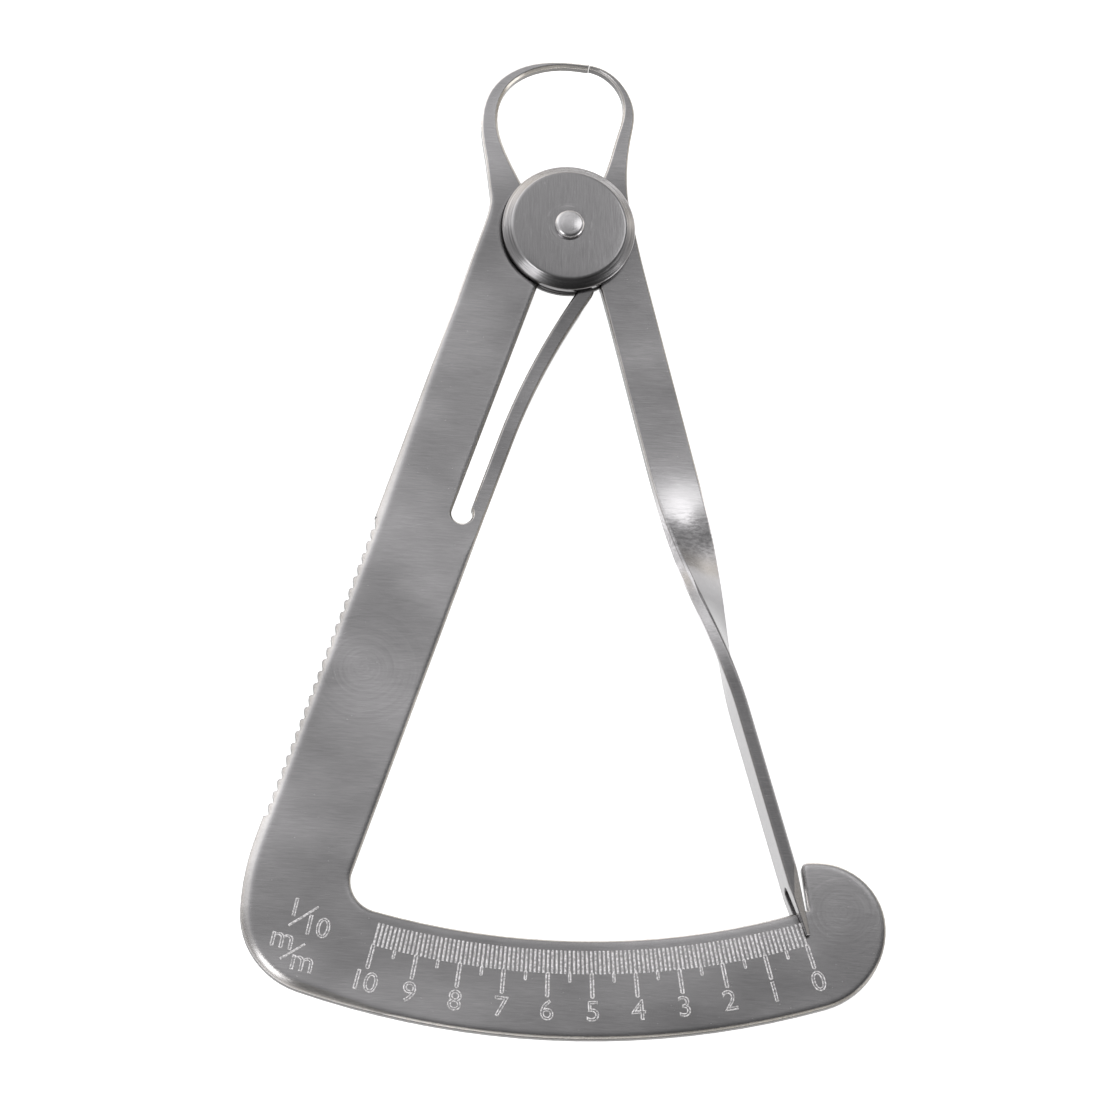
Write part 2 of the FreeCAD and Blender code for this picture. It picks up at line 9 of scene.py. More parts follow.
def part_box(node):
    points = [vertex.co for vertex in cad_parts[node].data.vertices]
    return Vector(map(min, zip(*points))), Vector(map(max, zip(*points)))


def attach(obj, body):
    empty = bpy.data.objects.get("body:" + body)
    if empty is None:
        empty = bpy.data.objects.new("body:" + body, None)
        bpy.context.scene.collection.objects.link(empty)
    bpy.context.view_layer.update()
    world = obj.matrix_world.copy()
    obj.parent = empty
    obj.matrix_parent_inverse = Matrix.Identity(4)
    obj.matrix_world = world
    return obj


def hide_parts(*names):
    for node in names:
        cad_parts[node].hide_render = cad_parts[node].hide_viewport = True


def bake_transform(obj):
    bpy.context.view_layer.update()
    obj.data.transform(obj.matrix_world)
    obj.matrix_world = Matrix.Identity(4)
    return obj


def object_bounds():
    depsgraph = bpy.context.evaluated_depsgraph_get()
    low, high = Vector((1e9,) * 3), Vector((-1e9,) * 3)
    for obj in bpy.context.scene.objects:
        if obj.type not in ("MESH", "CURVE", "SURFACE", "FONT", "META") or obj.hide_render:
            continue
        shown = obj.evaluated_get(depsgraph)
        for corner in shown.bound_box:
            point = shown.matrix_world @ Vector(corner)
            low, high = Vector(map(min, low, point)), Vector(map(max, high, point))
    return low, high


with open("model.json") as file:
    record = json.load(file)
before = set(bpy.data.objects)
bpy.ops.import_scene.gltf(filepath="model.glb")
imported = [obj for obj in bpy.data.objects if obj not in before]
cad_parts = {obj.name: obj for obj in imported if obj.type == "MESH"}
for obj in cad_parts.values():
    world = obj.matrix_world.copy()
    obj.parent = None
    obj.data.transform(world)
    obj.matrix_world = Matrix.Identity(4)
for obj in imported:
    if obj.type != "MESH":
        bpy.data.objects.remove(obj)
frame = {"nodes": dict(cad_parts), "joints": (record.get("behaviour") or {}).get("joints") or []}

cad_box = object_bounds()
MM = 0.001

# ---- sizes, in millimetres in the row frame --------------------------------------------
SHEET_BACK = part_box("scale_plate")[0][2] / MM
SHEET_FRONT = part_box("scale_plate")[1][2] / MM
ARC_OUTER = -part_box("scale_plate")[0][1] / MM
RIVET_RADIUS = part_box("pivot_rivet")[1][0] / MM
SLOT_ROOT = (-10.3, -31.0)      # where the slot beside the leaf spring ends

# ---- camera ----------------------------------------------------------------------------
CAMERA_LENS = 229.09            # for a sensor 36 mm wide
CAMERA_PLACE = (-72.63, -276.50, 656.14)
CAMERA_RIGHT = (0.99501451, -0.02828022, 0.09563661)
CAMERA_UP = (-0.00657765, 0.93825518, 0.34588141)


def camera():
    """Long lens, low on the left, tilted a little past square to the plate."""
    data = bpy.data.cameras.new("camera")
    data.sensor_width = 36.0
    data.lens = CAMERA_LENS
    data.clip_start = 0.05
    data.clip_end = 20
    eye = bpy.data.objects.new("camera", data)
    bpy.context.scene.collection.objects.link(eye)
    right = Vector(CAMERA_RIGHT)
    up = Vector(CAMERA_UP)
    back = right.cross(up)
    turn = Matrix((right, up, back)).transposed().to_4x4()
    eye.matrix_world = Matrix.Translation(Vector(CAMERA_PLACE) * MM) @ turn
    bpy.context.scene.camera = eye


# ---- node helpers ----------------------------------------------------------------------
def add(tree, kind, inputs=None, **settings):
    """A shader node with its settings and inputs; an input is a value or another socket."""
    made = tree.nodes.new(kind)
    for name, value in settings.items():
        setattr(made, name, value)
    for name, value in (inputs or {}).items():
        socket = made.inputs[name]
        if isinstance(value, bpy.types.NodeSocket):
            tree.links.new(value, socket)
        else:
            socket.default_value = value
    return made


def maths(tree, operation, first, second=0.0, clamp=False):
    made = add(tree, "ShaderNodeMath", {0: first, 1: second}, operation=operation, use_clamp=clamp)
    return made.outputs[0]


def total(tree, first, *others):
    """Sum of values, taken from left to right."""
    for other in others:
        first = maths(tree, "ADD", first, other)
    return first


def product(tree, first, *others):
    """Product of values, taken from left to right."""
    for other in others:
        first = maths(tree, "MULTIPLY", first, other)
    return first


def one_minus(tree, value, clamp=False):
    return maths(tree, "SUBTRACT", 1.0, value, clamp)


def spread(tree, value, low, high, to_low, to_high):
    """Goes from to_low to to_high while a value goes from low to high, and stops there."""
    made = add(tree, "ShaderNodeMapRange", {0: value, 1: low, 2: high, 3: to_low, 4: to_high})
    return made.outputs[0]


def spread_mm(tree, length, low, high, to_low, to_high):
    """The same for a length in metres whose limits are given in millimetres."""
    return spread(tree, length, low * MM, high * MM, to_low, to_high)


def band(tree, y, upper, lower, fades):
    """1 from one level of Y down to another, with a fade below each level, in millimetres."""
    below = spread_mm(tree, y, upper, upper - fades[0], 0.0, 1.0)
    above = spread_mm(tree, y, lower, lower - fades[1], 1.0, 0.0)
    return product(tree, below, above)


def mixed(tree, share, first, second):
    return add(tree, "ShaderNodeMix", {"Factor": share, 2: first, 3: second}).outputs[0]


def ramp(tree, value, stops):
    """Grey curve through (position, brightness) stops; the first two are the ends."""
    made = add(tree, "ShaderNodeValToRGB", {0: value})
    elements = made.color_ramp.elements
    for number, (place, level) in enumerate(stops):
        element = elements[number] if number < 2 else elements.new(place)
        element.position = place
        element.color = (level, level, level, 1)
    return made.outputs[0]


def axes(tree, vector):
    return add(tree, "ShaderNodeSeparateXYZ", {0: vector}).outputs


def object_place(tree):
    return add(tree, "ShaderNodeTexCoord").outputs["Object"]


def true_facing(tree):
    """Components of the mesh's own normal, and how squarely it faces along Z."""
    facing = axes(tree, add(tree, "ShaderNodeNewGeometry").outputs["True Normal"])
    return facing, maths(tree, "ABSOLUTE", facing[2])


def noise(tree, place, scale, detail, rough):
    inputs = {"Vector": place, "Scale": scale, "Detail": detail, "Roughness": rough}
    return add(tree, "ShaderNodeTexNoise", inputs).outputs[0]


def streaks(tree, place, angle, pattern):
    """Noise drawn out along an angle; patterns are listed with the materials."""
    along, across, detail, rough = pattern
    turned = add(tree, "ShaderNodeVectorRotate", {"Vector": place, "Angle": -angle},
                 rotation_type="Z_AXIS")
    factors = (along / MM, across / MM, across / MM)
    squeezed = add(tree, "ShaderNodeVectorMath", {0: turned.outputs[0], 1: factors},
                   operation="MULTIPLY")
    return noise(tree, squeezed.outputs[0], 1.0, detail, rough)


def distance_from(tree, place, centre=(0.0, 0.0)):
    """Flat distance of a point from a centre given in millimetres, and its angle."""
    offset = add(tree, "ShaderNodeVectorMath", {0: place, 1: (centre[0] * MM, centre[1] * MM, 0)},
                 operation="SUBTRACT")
    x, y = axes(tree, offset.outputs[0])[:2]
    flat = add(tree, "ShaderNodeCombineXYZ", {0: x, 1: y}).outputs[0]
    size = add(tree, "ShaderNodeVectorMath", {0: flat}, operation="LENGTH").outputs["Value"]
    return size, maths(tree, "ARCTAN2", y, x)


def rings_about(tree, place, centre, lines, wander):
    """Circular rubbing marks about a centre: fine rings that change slowly with the angle."""
    size, angle = distance_from(tree, place, centre)
    polar = add(tree, "ShaderNodeCombineXYZ", {0: product(tree, size, lines / MM),
                                               1: product(tree, angle, wander)})
    return noise(tree, polar.outputs[0], 1.0, 3.0, 0.6), size


# ---- steel -----------------------------------------------------------------------------
# patterns: lines per millimetre along and across the grain, detail, roughness
FINE_GRAIN = (0.5, 6.5, 4.0, 0.7)
BROAD_GRAIN = (0.2, 1.6, 3.0, 0.55)
CLOUDS = (0.07, 0.1, 2.0, 0.5)
SCRATCHES = (0.22, 7.0, 1.0, 0.4)
SPECKS = (3.5, 5.0, 1.0, 0.4)
SCORE_LINES = (0.45, 3.2, 2.0, 0.6)
DISC_GRAIN = (0.6, 8.0, 4.0, 0.6)

# how much each pattern adds to the sheet's brightness
FINE_SHADE = 0.06
BROAD_SHADE = 0.016
CLOUD_SHADE = 0.018
SCRATCH_SHADE = 0.04
SPECK_SHADE = 0.25
SWIRL_SHADE = 0.042

# depth of a pattern as a share of the fine grain's
SCRATCH_DEPTH = 0.6
SWIRL_DEPTH = 0.4
SCORE_DEPTH = 0.8

# bump for the whole height pattern, in millimetres
GRAIN_DEPTH = 0.0013
TURNED_DEPTH = 0.02
ENGRAVED_DEPTH = 0.01

# scales of round noise, per metre
DISC_SPECKS = 4200.0
DISC_WEAR = 900.0
ENGRAVED_GRAIN = 4500.0

SCRATCH_TURN = 0.25             # radians between the grain and the scratches
SCORE_TURN = 0.12               # and between the grain and the scored lines
SWIRL_LINES = 3.6               # rings per millimetre
SWIRL_WANDER = 0.35             # how quickly the rings change with the angle
SWIRL_CORE = 0.55               # share of their reach within which they are strongest
SWIRLS = [((-21.8, -47.4), 7.5), ((25.0, -72.6), 6.0)]  # centre and reach of rubbed rings

# patches of painted light and shade: limits in x and in y between which each fades in, and the loss
# of brightness, which is below zero where the patch is a painted highlight
# painted shade: the plate is darker towards the lower right
PLATE_SHADE_PATCHES = [((-30, 5), (-66, -86), 0.3)]
LEG_LIGHT_PATCHES = [
    # painted highlight on the right of the twist
    ((2, 14), (-25.5, -29.5), -0.9),
    # painted shade below that highlight
    ((-1, 0), (-31, -33), 0.3),
    # painted shade on the twisted face and the blade below it
    ((-1, 0), (-34.5, -40), 0.55),
]
# painted shade on the strip near the disc, and painted light on its lower part
STRIP_LIGHT_PATCHES = [((-4, -1), (-15, -9), 0.35), ((-40, -39), (-25, -30), -0.2)]
LEG_RIDGE_HIGHLIGHT = (-36, -42, 3.0)     # painted highlight on the wall of the twist: upper end, lower end, gain
RIDGE_MOST = 0.9                # brightest shade on the leg, which caps the painted highlight
LEG_SCORED = (-30.0, -34.5, 0.3)    # scratches across the twist: upper end, lower end, depth
LEG_WALLS_FROM = -26.0          # below it the leg twists, so the painted shade and highlights of walls and edges fade

HUB_SHADE = 0.66                  # painted shade: the sheet is darker round the hub, where the disc shades it
WALL_SHADE = 0.2                 # painted shade: its cut walls are darker than its rubbed faces
HUB_WALL_SHADE = 0.07                 # painted shade on the walls of the two hub halves under the disc
EDGE_HIGHLIGHT = 1.5                 # painted highlight: slopes between a wall and a face are brighter than both
HUB_WALLS = (6.85, 7.05)        # radii between which the walls change from hub to sheet
JAW_ROLL_OVER = 0.2             # softened edge of the slim jaws, in millimetres
RIM_FROM = (5.75, 5.95)         # radii between which the disc's bevel starts
RIM_LIGHT = (0.75, 1.3)          # painted shade and highlight on the turned bevel: darker towards the scale, brighter towards the jaws
RIM_LIGHT_LEVELS = (-2, 5)            # y between which that painted light changes
DISC_WALL_SHADE = 0.9            # painted shade: the disc's upright wall is a little darker
SCUFF_FADE = 1.6                # loss of wear for each millimetre away from a scuffed ring


def new_material(name):
    made = bpy.data.materials.new(name)
    made.use_nodes = True
    made.node_tree.nodes.clear()
    return made, made.node_tree


def finish_steel(tree, colour, rough, height, bump, normal=None):
    """Metal shader with a height pattern; bump is the pattern's depth in metres."""
    inputs = {"Height": height, "Distance": bump, "Strength": 1.0}
    if normal is not None:
        inputs["Normal"] = normal
    relief = add(tree, "ShaderNodeBump", inputs)
    shader = add(
        tree,
        "ShaderNodeBsdfPrincipled",
        {"Base Color": colour, "Roughness": rough, "Normal": relief.outputs[0], "Metallic": 1.0},
    )
    add(tree, "ShaderNodeOutputMaterial", {"Surface": shader.outputs[0]})


def tinted(tree, level, tint=(1.0, 0.98, 1.0)):
    made = add(tree, "ShaderNodeCombineColor")
    for number, share in enumerate(tint):
        tree.links.new(product(tree, level, share), made.inputs[number])
    return made.outputs[0]


def rubbed_face(tree, place, angle, level):
    """Brightness and height of a rubbed face, and the patterns that the edges share."""
    fine = streaks(tree, place, angle, FINE_GRAIN)
    broad = streaks(tree, place, angle, BROAD_GRAIN)
    clouds = streaks(tree, place, angle, CLOUDS)
    scratch = streaks(tree, place, angle + SCRATCH_TURN, SCRATCHES)
    scratch = spread(tree, scratch, 0.7, 0.76, 0.0, 1.0)
    speck = spread(tree, streaks(tree, place, angle, SPECKS), 0.8, 0.86, 0.0, 1.0)
    shade = total(
        tree,
        spread(tree, fine, 0.25, 0.75, -FINE_SHADE, FINE_SHADE),
        level,
        spread(tree, broad, 0.25, 0.75, -BROAD_SHADE, BROAD_SHADE),
        spread(tree, clouds, 0.3, 0.7, -CLOUD_SHADE, CLOUD_SHADE),
        product(tree, scratch, SCRATCH_SHADE),
        product(tree, speck, SPECK_SHADE),
    )
    height = total(tree, fine, product(tree, scratch, SCRATCH_DEPTH))
    return shade, height, fine, clouds, speck


def with_swirls(tree, place, swirls, shade, height):
    """Rings rubbed into the face about a few centres."""
    for centre, reach in swirls:
        rings, size = rings_about(tree, place, centre, SWIRL_LINES, SWIRL_WANDER)
        inside = spread_mm(tree, size, SWIRL_CORE * reach, reach, 1.0, 0.0)
        mark = product(tree, inside, spread(tree, rings, 0.3, 0.7, -1.0, 1.0))
        shade = total(tree, shade, product(tree, mark, SWIRL_SHADE))
        height = total(tree, height, product(tree, mark, SWIRL_DEPTH))
    return shade, height


def hub_tarnish(tree, y, from_pivot):
    """Painted shade round the hub, where the disc shades the sheet, except above it, where the jaws
    start.
    """
    near = spread_mm(tree, from_pivot, 7, 16, HUB_SHADE, 1.0)
    return maths(tree, "MAXIMUM", near, spread_mm(tree, y, 3, 8, HUB_SHADE, 1.0))


def with_patches(tree, x, y, patches, shade):
    """Painted light and shade in patches, listed above."""
    for across, down, loss in patches:
        painted_loss = product(tree, spread_mm(tree, x, *across, 0.0, loss),
                       spread_mm(tree, y, *down, 0.0, 1.0))
        shade = product(tree, shade, one_minus(tree, painted_loss))
    return shade


def edge_gain(tree, from_pivot, upright, clouds):
    """Painted shade on the cut walls and painted highlight on the slopes beside them, patchy along
    their length.
    """
    wall = spread_mm(tree, from_pivot, *HUB_WALLS, HUB_WALL_SHADE, WALL_SHADE)
    gain = spread(tree, upright, 0.3, 0.62, wall, EDGE_HIGHLIGHT)
    gain = maths(tree, "MINIMUM", gain, spread(tree, upright, 0.75, 0.86, EDGE_HIGHLIGHT, 1.0))
    return product(tree, gain, spread(tree, clouds, 0.35, 0.6, 0.72, 1.0))


def with_scored_lines(tree, place, y, angle, scored, shade, height):
    """Dark scratches cut across the twist."""
    upper, lower, depth = scored
    lines = streaks(tree, place, angle + SCORE_TURN, SCORE_LINES)
    part = product(tree, band(tree, y, upper, lower, (1.5, 1.5)),
                   spread(tree, lines, 0.44, 0.6, 0.0, depth))
    shade = product(tree, shade, one_minus(tree, part))
    return shade, maths(tree, "SUBTRACT", height, product(tree, part, SCORE_DEPTH))


def with_ridge(tree, y, facing, ridge_highlight, shade):
    """Painted highlight on the part of the twist that faces left and forwards."""
    upper, lower, gain = ridge_highlight
    part = product(tree, band(tree, y, upper, lower, (2, 7)),
                   spread(tree, facing[0], 0.1, -0.05, 0.0, 1.0),
                   spread(tree, facing[2], 0.1, 0.35, 0.0, 1.0))
    bright = product(tree, shade, spread(tree, part, 0.0, 1.0, 1.0, gain))
    return maths(tree, "MINIMUM", bright, RIDGE_MOST)


def rolled_edge(tree, place, y, roll_over):
    """Normal that rolls over at the edges: less on the jaws, hardly at the slot's end."""
    roll = spread_mm(tree, y, 1, 5, roll_over * MM, JAW_ROLL_OVER * MM)
    from_root = distance_from(tree, place, SLOT_ROOT)[0]
    roll = product(tree, roll, spread_mm(tree, from_root, 2.4, 4.5, 0.12, 1.0))
    return add(tree, "ShaderNodeBevel", {"Radius": roll}, samples=8).outputs[0]


def right_edge_loss(tree, edge, flat_part, upright):
    """Painted shade on the rolled edges that turn to the right."""
    on_face = product(tree, flat_part, spread(tree, upright, 0.5, 0.8, 0.0, 1.0))
    rolled = product(tree, axes(tree, edge)[0], on_face)
    return spread(tree, rolled, 0.04, 0.3, 1.0, 0.5)


def wall_colour(tree, facing, upright, flat_part, shade):
    """Nearly grey on the faces and warmer on the walls, most of all on the right ones."""
    warm = product(tree, flat_part, spread(tree, upright, 0.86, 0.98, 1.0, 0.0),
                   spread(tree, facing[0], -0.3, 0.1, 0.25, 1.0))
    colour = add(tree, "ShaderNodeCombineColor", {
        0: shade,
        1: product(tree, shade, spread(tree, warm, 0.0, 1.0, 0.98, 0.95)),
        2: product(tree, shade, spread(tree, warm, 0.0, 1.0, 1.0, 0.88)),
    })
    return colour.outputs[0]


def sheet_steel(name, grain_degrees, level, roll_over, swirls=(), patches=(), scored=None,
                ridge_highlight=None, walls_from=-200.0, relief=1.0):
    """Satin sheet: fine rubbed grain, a few scratches and specks and softened edges, with painted
    shade and highlights on its walls, edges and patches.
    """
    made, tree = new_material(name)
    place = object_place(tree)
    x, y = axes(tree, place)[:2]
    facing, upright = true_facing(tree)
    from_pivot = distance_from(tree, place)[0]
    flat_part = spread_mm(tree, y, walls_from - 6, walls_from, 0.0, 1.0)
    angle = math.radians(grain_degrees)

    shade, height, fine, clouds, speck = rubbed_face(tree, place, angle, level)
    shade, height = with_swirls(tree, place, swirls, shade, height)
    # painted shade round the hub
    shade = product(tree, shade, hub_tarnish(tree, y, from_pivot))
    # painted light and shade in patches
    shade = with_patches(tree, x, y, patches, shade)
    # painted shade on the walls and painted highlight on the slopes, faded out where the leg twists
    gain = edge_gain(tree, from_pivot, upright, clouds)
    shade = product(tree, shade, mixed(tree, flat_part, 1.0, gain))
    if scored is not None:
        shade, height = with_scored_lines(tree, place, y, angle, scored, shade, height)
    # painted highlight on the wall of the twist
    if ridge_highlight is not None:
        shade = with_ridge(tree, y, facing, ridge_highlight, shade)
    edge = rolled_edge(tree, place, y, roll_over)
    # painted shade on the rolled edges that turn to the right
    shade = product(tree, shade, right_edge_loss(tree, edge, flat_part, upright))
    rough = total(tree, spread(tree, fine, 0.2, 0.8, 0.19, 0.27), product(tree, speck, 0.2))
    colour = wall_colour(tree, facing, upright, flat_part, shade)
    finish_steel(tree, colour, rough, height, relief * GRAIN_DEPTH * MM, edge)
    return made


def scuffed_ring(tree, place, radius, scuff_radius):
    """Patchy wear on a ring of the disc or the rivet."""
    patchy = spread(tree, noise(tree, place, DISC_WEAR, 2.0, 0.6), 0.45, 0.62, 0.0, 1.0)
    off_ring = maths(tree, "SUBTRACT", radius, scuff_radius * MM)
    off_ring = maths(tree, "ABSOLUTE", product(tree, off_ring, SCUFF_FADE / MM))
    return product(tree, one_minus(tree, off_ring, clamp=True), patchy)


def turned_steel(name, level, line_scale, scuff_radius, ring_swing):
    """Disc or rivet: faint straight grain in the middle, fine rings on the rim and scuffs, painted
    shade and highlight on the bevel and painted shade on the wall.
    """
    made, tree = new_material(name)
    place = object_place(tree)
    rings, radius = rings_about(tree, place, (0.0, 0.0), line_scale, 0.9)
    grain = streaks(tree, place, math.radians(88), DISC_GRAIN)
    speck = spread(tree, noise(tree, place, DISC_SPECKS, 1.0, 0.4), 0.76, 0.82, 0.0, 1.0)
    rim = spread_mm(tree, radius, *RIM_FROM, 0.0, 1.0)
    scuff = scuffed_ring(tree, place, radius, scuff_radius)
    pattern = mixed(tree, maths(tree, "MAXIMUM", rim, scuff), grain, rings)
    swing = mixed(tree, rim, 0.04, ring_swing)
    ripple = product(tree, spread(tree, pattern, 0.25, 0.75, -1.0, 1.0), swing)
    shade = total(
        tree,
        ripple,
        level,
        product(tree, speck, 0.12),
        product(tree, scuff, spread(tree, rings, 0.45, 0.65, 0.0, 0.1)),
    )
    # painted shade on the lower bevel, painted highlight on the upper bevel
    rim_light = spread_mm(tree, axes(tree, place)[1], *RIM_LIGHT_LEVELS, *RIM_LIGHT)
    shade = product(tree, shade, spread(tree, rim, 0.0, 1.0, 1.0, rim_light))
    # painted shade on the upright wall
    upright = true_facing(tree)[1]
    shade = product(tree, shade, spread(tree, upright, 0.1, 0.5, DISC_WALL_SHADE, 1.0))
    rough = spread(tree, pattern, 0.2, 0.8, 0.15, 0.24)
    finish_steel(tree, tinted(tree, shade), rough, ripple, TURNED_DEPTH * MM)
    return made


def plate_steel():
    return sheet_steel("plate_steel", grain_degrees=-4, level=0.6, roll_over=0.9,
                       swirls=SWIRLS, patches=PLATE_SHADE_PATCHES)


def leg_steel():
    return sheet_steel("leg_steel", grain_degrees=-3, level=0.44, roll_over=0.22,
                       patches=LEG_LIGHT_PATCHES, scored=LEG_SCORED, ridge_highlight=LEG_RIDGE_HIGHLIGHT,
                       walls_from=LEG_WALLS_FROM, relief=2.4)


def spring_steel():
    # painted shade: a lower level than the plate, from whose sheet the strip is cut
    return sheet_steel("spring_steel", grain_degrees=-4, level=0.46, roll_over=0.2,
                       patches=STRIP_LIGHT_PATCHES)


def disc_steel():
    return turned_steel("disc_steel", level=0.37, line_scale=6.0, scuff_radius=2.2, ring_swing=0.18)


def rivet_steel():
    return turned_steel("rivet_steel", level=0.66, line_scale=9.0, scuff_radius=0.9, ring_swing=0.03)


def engraved_metal():
    """Freshly cut, grainy metal of the burrs along the engraved lines."""
    made, tree = new_material("engraved")
    grain = noise(tree, object_place(tree), ENGRAVED_GRAIN, 3.0, 0.7)
    shade = spread(tree, grain, 0.38, 0.6, 0.35, 1.0)
    bump = {"Height": grain, "Distance": ENGRAVED_DEPTH * MM, "Strength": 1.0}
    relief = add(tree, "ShaderNodeBump", bump)
    shader = add(
        tree,
        "ShaderNodeBsdfPrincipled",
        {"Base Color": tinted(tree, shade), "Roughness": 0.5, "Normal": relief.outputs[0]},
    )
    add(tree, "ShaderNodeOutputMaterial", {"Surface": shader.outputs[0]})
    return made


# ---- mesh helpers ----------------------------------------------------------------------
CORNER_STEPS = 8                # pieces in an eased corner of a turned profile
LATHE_SIDES = 128


def link(piece):
    bpy.context.scene.collection.objects.link(piece)
    return piece


def mesh_piece(name, points, faces, material, smooth=True):
    """A new object from points in millimetres."""
    mesh = bpy.data.meshes.new(name)
    mesh.from_pydata([tuple(c * MM for c in p) for p in points], [], faces)
    mesh.materials.append(material)
    for face in mesh.polygons:
        face.use_smooth = smooth
    return link(bpy.data.objects.new(name, mesh))


def rounded(corners):
    """Profile of radius and height with each corner eased over its own reach."""
    profile = []
    count = len(corners)
    for number, (radius, height, reach) in enumerate(corners):
        here = Vector((radius, height))
        before = Vector(corners[number - 1][:2])
        after = Vector(corners[(number + 1) % count][:2])
        if reach == 0:
            profile.append(here)
            continue
        start = here + (before - here).normalized() * reach
        end = here + (after - here).normalized() * reach
        for step in range(CORNER_STEPS + 1):
            share = step / CORNER_STEPS
            profile.append(start.lerp(here, share).lerp(here.lerp(end, share), share))
    return profile


def swept(profile):
    """Points and faces of a closed profile turned round the pivot axis."""
    count = len(profile)
    points, faces = [], []
    for side in range(LATHE_SIDES):
        turn = 2 * math.pi * side / LATHE_SIDES
        points += [(place.x * math.cos(turn), place.x * math.sin(turn), place.y) for place in profile]
        here = side * count
        there = (side + 1) % LATHE_SIDES * count
        for number in range(count):
            after = (number + 1) % count
            if max(profile[number].x, profile[after].x) > 0:
                faces.append((here + number, there + number, there + after, here + after))
    return points, faces


def lathe(node, corners, material):
    """Turned piece in place of a CAD node."""
    points, faces = swept(rounded(corners))
    piece = mesh_piece(node + "_turned", points, faces, material)
    work = bmesh.new()
    work.from_mesh(piece.data)
    bmesh.ops.remove_doubles(work, verts=work.verts, dist=1e-7)
    bmesh.ops.recalc_face_normals(work, faces=work.faces)
    work.to_mesh(piece.data)
    work.free()
    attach(piece, "scale")
    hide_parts(node)


# ---- pivot -----------------------------------------------------------------------------
RIVET_SHANK = 1.25              # radius, also of the hole in the disc
HEAD_RADIUS = 1.55
HEAD_EDGE = 0.3                 # height of the head's edge above the disc
BEVEL_WIDTH = 1.0
BEVEL_HEIGHT = 0.7
DISC_CROWN = 0.06               # the disc's middle stands this much above its bevel
GAP = 0.002                     # between the rivet and the faces that it clamps


def turned_disc():
    """Cover disc with its turned bevel; a corner is radius, height and reach."""
    low, high = (corner[2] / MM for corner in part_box("cover_disc"))
    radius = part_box("cover_disc")[1][0] / MM
    top_radius = radius - BEVEL_WIDTH
    lathe("cover_disc", [
        (RIVET_SHANK, low, 0.02),
        (radius, low, 0.08),
        (radius, high - DISC_CROWN - BEVEL_HEIGHT, 0.1),
        (top_radius, high - DISC_CROWN, 0.2),
        ((top_radius + RIVET_SHANK) / 2, high - DISC_CROWN / 4, 1.4),
        (RIVET_SHANK, high, 0.02),
    ], disc_steel())


def turned_rivet():
    """Rivet with its flat rear head, its shank and its domed front head."""
    disc_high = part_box("cover_disc")[1][2] / MM
    head_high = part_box("pivot_rivet")[1][2] / MM
    lathe("pivot_rivet", [
        (0, 0, 0),
        (RIVET_RADIUS, 0, 0.1),
        (RIVET_RADIUS, SHEET_BACK - GAP, 0.02),
        (RIVET_SHANK, SHEET_BACK - GAP, 0.02),
        (RIVET_SHANK, disc_high + GAP, 0.02),
        (HEAD_RADIUS - 0.04, disc_high + GAP, 0.03),
        (HEAD_RADIUS, disc_high + HEAD_EDGE, 0.14),
        (HEAD_RADIUS * 0.86, head_high - 0.09, 0.24),
        (HEAD_RADIUS * 0.3, head_high, 0.3),
        (0, head_high, 0),
    ], rivet_steel())


# ---- scale marks -----------------------------------------------------------------------
SCALE_STEP = 3.141              # degrees of pointer swing for one numbered division
SCALE_MIDDLE = 5                # the number that lies straight below the pivot
TICK_START = ARC_OUTER - 8.9    # radius at which every tick starts
TICK_END = ARC_OUTER - 6.5
TICK_BEAD = 0.11
HALF_MARK = (ARC_OUTER - 5.8, 0.2, 0.07)    # hollow mark: radius of its end, width, bead
LONG_MARK = (ARC_OUTER - 4.23, 0.28, 0.08)
BEAD_SIDES = 5
BEAD_HEIGHT = 0.55              # as a share of its radius
BEAD_SINK = 0.004               # how far the bead's sides reach into the plate
DIGIT_MIDDLE = ARC_OUTER - 2.65
DIGIT_HEIGHT = 2.1
DIGIT_SHARE = 0.72              # height of a digit as a share of the font's size
LETTER_BEAD = 0.072
UNIT_TURN = -14
UNIT_LETTERS = [
    ("unit_one", "1", (-29.0, -72.3), 1.9),
    ("unit_ten", "10", (-27.0, -74.3), 2.1),
    ("unit_upper_m", "m", (-30.3, -75.4), 2.3),
    ("unit_lower_m", "m", (-28.4, -77.8), 2.3),
]
UNIT_STROKES = [((-29.7, -74.1), (-26.7, -72.2)), ((-30.6, -77.5), (-28.1, -76.0))]
STROKE_BEAD = 0.12


def tube(points, faces, path, radius, closed):
    """Adds a low half-round bead that follows a path on the plate's front."""
    first = len(points)
    count = len(path)
    for number, (x, y) in enumerate(path):
        before = path[(number - 1) % count] if closed or number else path[0]
        after = path[(number + 1) % count] if closed or number < count - 1 else path[-1]
        run = Vector((after[0] - before[0], after[1] - before[1]))
        run.normalize()
        for side in range(BEAD_SIDES):
            turn = math.pi * side / (BEAD_SIDES - 1)
            out = radius * math.cos(turn)
            high = radius * BEAD_HEIGHT * math.sin(turn) - BEAD_SINK
            points.append((x - run.y * out, y + run.x * out, SHEET_FRONT + high))
    spans = count if closed else count - 1
    for span in range(spans):
        here = first + span * BEAD_SIDES
        there = first + (span + 1) % count * BEAD_SIDES
        for side in range(BEAD_SIDES - 1):
            faces.append((here + side, here + side + 1, there + side + 1, there + side))


def on_arc(radius, degrees):
    """Point at a radius from the pivot and an angle to +X from straight down."""
    angle = math.radians(degrees)
    return radius * math.sin(angle), -radius * math.cos(angle)


